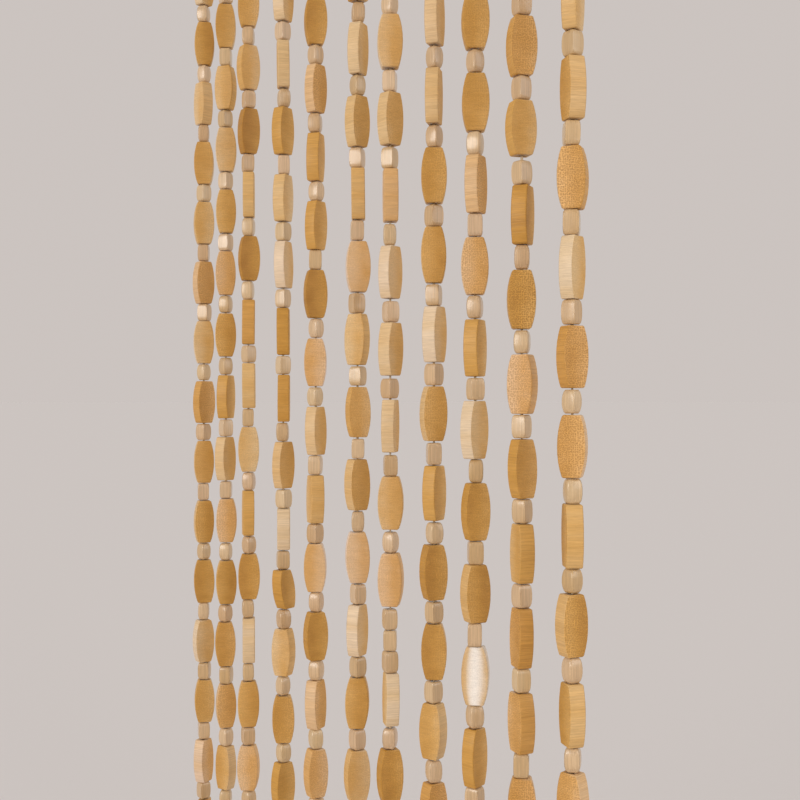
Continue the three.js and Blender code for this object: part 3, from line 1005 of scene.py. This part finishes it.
def make_bamboo():
    """Long beads: the fibres run through their thickness, so the faces show the fibres' ends."""
    material, nodes, links = new_material("bamboo")
    shader = nodes["Principled BSDF"]
    brown, blush, speckle = split(nodes, links, attribute(nodes, "wood"))
    across, through, _ = split(nodes, links, attribute(nodes, "bead_share"))
    place_x, place_y, place_z = split(nodes, links, attribute(nodes, "grain_place"))
    centred = times(nodes, links, across, across)
    crowded = plus(nodes, links, place_x, times(nodes, links, centred, CROWDING))
    bundles, pith, streaks, drift = placed_group(
        nodes, links, bamboo_fibre, joined(nodes, links, crowded, place_z, place_y),
    )
    face = ramp_between(nodes, links, math_node(nodes, links, "ABSOLUTE", through, None), *FACE_FROM)

    # How brown each place is.
    side_rind = ramp_between(nodes, links, across, *SIDE_RIND["across"], *SIDE_RIND["brown"])
    face_rind = ramp_between(nodes, links, across, *FACE_RIND["across"], *FACE_RIND["brown"])
    rind = nodes.new("ShaderNodeMix")
    for socket, value in ((0, face), (2, side_rind), (3, face_rind)):
        links.new(value, rind.inputs[socket])
    shade = plus(nodes, links, brown, rind.outputs[0])
    shade = plus(nodes, links, shade, unevenness_of(nodes, links, drift, LONG_LOOK))
    # Painted highlight on a pale lacquered bead: its edges are painted browner, as the falloff round it.
    painted_highlight = ramp_between(nodes, links, brown, *LACQUER_AND_PAINTED_HIGHLIGHT["brown"], 1.0, 0.0)
    edges = times(nodes, links, times(nodes, links, centred, painted_highlight), LACQUER_AND_PAINTED_HIGHLIGHT["edge"])
    shade = plus(nodes, links, shade, edges, clamp=True)

    # The ground's colour: blushed, with a painted highlight down the middle of a pale lacquered bead,
    # and yellow near the rind.
    ground = colour_ramp(nodes, links, shade, BAMBOO_TONES)
    ground = mix_colours(nodes, links, blush, ground, tinted(nodes, links, ground, BLUSH))
    # Painted highlight: the middle of a pale lacquered bead is painted near white.
    middle = minus(nodes, links, 1, times(nodes, links, centred, LACQUER_AND_PAINTED_HIGHLIGHT["fade"]))
    middle = times(nodes, links, middle, painted_highlight, clamp=True)
    ground = mix_colours(nodes, links, middle, ground, LACQUER_AND_PAINTED_HIGHLIGHT["colour"])
    side = minus(nodes, links, 1, face)
    yellow = times(nodes, links, side, ramp_between(nodes, links, across, *SIDE_RIND["yellow_across"]))
    yellow = times(nodes, links, yellow, brown, clamp=True)
    ground = tinted(nodes, links, ground, mix_colours(nodes, links, yellow, WHITE, RIND))

    # Lines, saw marks, and the fibres' ends.
    ground = tinted(nodes, links, ground, ramp_between(nodes, links, streaks, *LONG_LOOK["lines"]))
    banded = scaled(nodes, links, attribute(nodes, "grain_place"), SAW_MARKS["stretch"])
    sawn = noise(nodes, links, banded, SAW_MARKS["scale"])
    ground = tinted(nodes, links, ground, ramp_between(nodes, links, sawn, *SAW_MARKS["tones"]))
    contrast = times(nodes, links, speckle, ramp_between(nodes, links, face, 0, 1, *CONTRAST))
    # The pith between the fibre ends is painted lighter: partly its own paler colour, partly painted
    # glints.
    pith_and_painted_glints = times(nodes, links, times(nodes, links, pith, contrast), PITH_AND_PAINTED_GLINTS["share"])
    ground = tinted(nodes, links, ground, plus(nodes, links, pith_and_painted_glints, PITH_AND_PAINTED_GLINTS["base"]))
    dark = times(nodes, links, bundles, contrast, clamp=True)
    links.new(mix_colours(nodes, links, dark, ground, FIBRE_ENDS), shader.inputs["Base Color"])

    rough = times(nodes, links, streaks, LONG_LOOK["rough_streaks"])
    rough = plus(nodes, links, rough, times(nodes, links, face, LONG_LOOK["rough_faces"]))
    links.new(plus(nodes, links, rough, LONG_LOOK["rough"]), shader.inputs["Roughness"])
    relief = minus(nodes, links, streaks, times(nodes, links, bundles, LONG_LOOK["sunk"]))
    links.new(bump_of(nodes, links, relief, *LONG_LOOK["bump"]), shader.inputs["Normal"])
    shader.inputs["Specular IOR Level"].default_value = LONG_LOOK["specular"]
    coat = ramp_between(nodes, links, brown, *LACQUER_AND_PAINTED_HIGHLIGHT["brown"], *LACQUER_AND_PAINTED_HIGHLIGHT["coat"])
    links.new(coat, shader.inputs["Coat Weight"])
    shader.inputs["Coat Roughness"].default_value = LONG_LOOK["coat_roughness"]
    return material


def make_pale_bamboo():
    """Short beads: pale sapwood with its fibres along the string, under a clear lacquer."""
    material, nodes, links = new_material("pale_bamboo")
    shader = nodes["Principled BSDF"]
    place = scaled(nodes, links, attribute(nodes, "grain_place"), SHORT_GRAIN)
    bundles, _, streaks, drift = placed_group(nodes, links, bamboo_fibre, place)
    brown, blush, speckle = split(nodes, links, attribute(nodes, "wood"))
    shade = plus(nodes, links, brown, unevenness_of(nodes, links, drift, SHORT_LOOK), clamp=True)
    ground = mix_colours(nodes, links, shade, *SAPWOOD)
    pink = tinted(nodes, links, ground, BLUSH)
    ground = mix_colours(nodes, links, times(nodes, links, blush, SHORT_LOOK["blush"]), ground, pink)
    ground = tinted(nodes, links, ground, ramp_between(nodes, links, streaks, *SHORT_LOOK["lines"]))
    dark = times(nodes, links, bundles, times(nodes, links, speckle, SHORT_LOOK["dots"]))
    links.new(mix_colours(nodes, links, dark, ground, SAPWOOD_ENDS), shader.inputs["Base Color"])
    relief = minus(nodes, links, streaks, times(nodes, links, bundles, SHORT_LOOK["sunk"]))
    finish_wood(nodes, links, SHORT_LOOK, streaks, relief)
    return material


def make_heading_wood():
    """The heading strip: long fibres along X, a little sanded and lacquered."""
    material, nodes, links = new_material("heading_wood")
    shader = nodes["Principled BSDF"]
    coordinates = nodes.new("ShaderNodeTexCoord")
    place_x, place_y, place_z = split(
        nodes, links, scaled(nodes, links, coordinates.outputs["Object"], HEADING_GRAIN),
    )
    place = joined(nodes, links, place_y, place_z, place_x)
    bundles, _, streaks, drift = placed_group(nodes, links, bamboo_fibre, place)
    shade = ramp_between(nodes, links, drift, *HEADING_LOOK["tones"])
    ground = colour_ramp(nodes, links, shade, BAMBOO_TONES)
    ground = tinted(nodes, links, ground, ramp_between(nodes, links, streaks, *HEADING_LOOK["lines"]))
    dark = times(nodes, links, bundles, HEADING_LOOK["dots"])
    links.new(mix_colours(nodes, links, dark, ground, FIBRE_ENDS), shader.inputs["Base Color"])
    finish_wood(nodes, links, HEADING_LOOK, streaks, streaks)
    return material


def make_string_fibre():
    """Twisted cotton string, undyed."""
    material, nodes, links = new_material("string_fibre")
    shader = nodes["Principled BSDF"]
    coordinates = nodes.new("ShaderNodeTexCoord")
    fuzz = noise(nodes, links, coordinates.outputs["Object"], **STRING_FUZZ)
    tone = mix_colours(nodes, links, fuzz, STRING_LOOK["dark"], STRING_LOOK["light"])
    links.new(tone, shader.inputs["Base Color"])
    links.new(bump_of(nodes, links, fuzz, *STRING_LOOK["bump"]), shader.inputs["Normal"])
    shader.inputs["Roughness"].default_value = STRING_LOOK["rough"]
    shader.inputs["Sheen Weight"].default_value = STRING_LOOK["sheen"]
    return material


# ---------------------------------------------------------------------------------------------
# The scene
# ---------------------------------------------------------------------------------------------

make_camera()
make_world()
make_floor()
for sun in SUNS:
    make_sun(**sun)
bpy.context.scene.view_settings.view_transform = "Standard"

bamboo_fibre = fibre_group()
bamboo = make_bamboo()
pale_bamboo = make_pale_bamboo()
heading_wood = make_heading_wood()
string_fibre = make_string_fibre()

long_form = mesh_of(
    long_bead_form(), "long_bead", long_half_width, LONG_BEAD["thickness"] / 2, LONG_BEAD["length"] / 2,
)
short_forms = {
    name: mesh_of(
        short_bead_form(wear), f"{name}_short_bead", lambda share: SHORT_BEAD["width"] / 2,
        SHORT_BEAD["width"] / 2, SHORT_BEAD["length"] / 2,
    )
    for name, wear in (("square", SQUARE_WEAR), ("round", ROUND_WEAR))
}
strand_ends = [make_strand(strand, long_form, short_forms) for strand in range(len(STRANDS))]
make_strings(strand_ends)
make_heading()
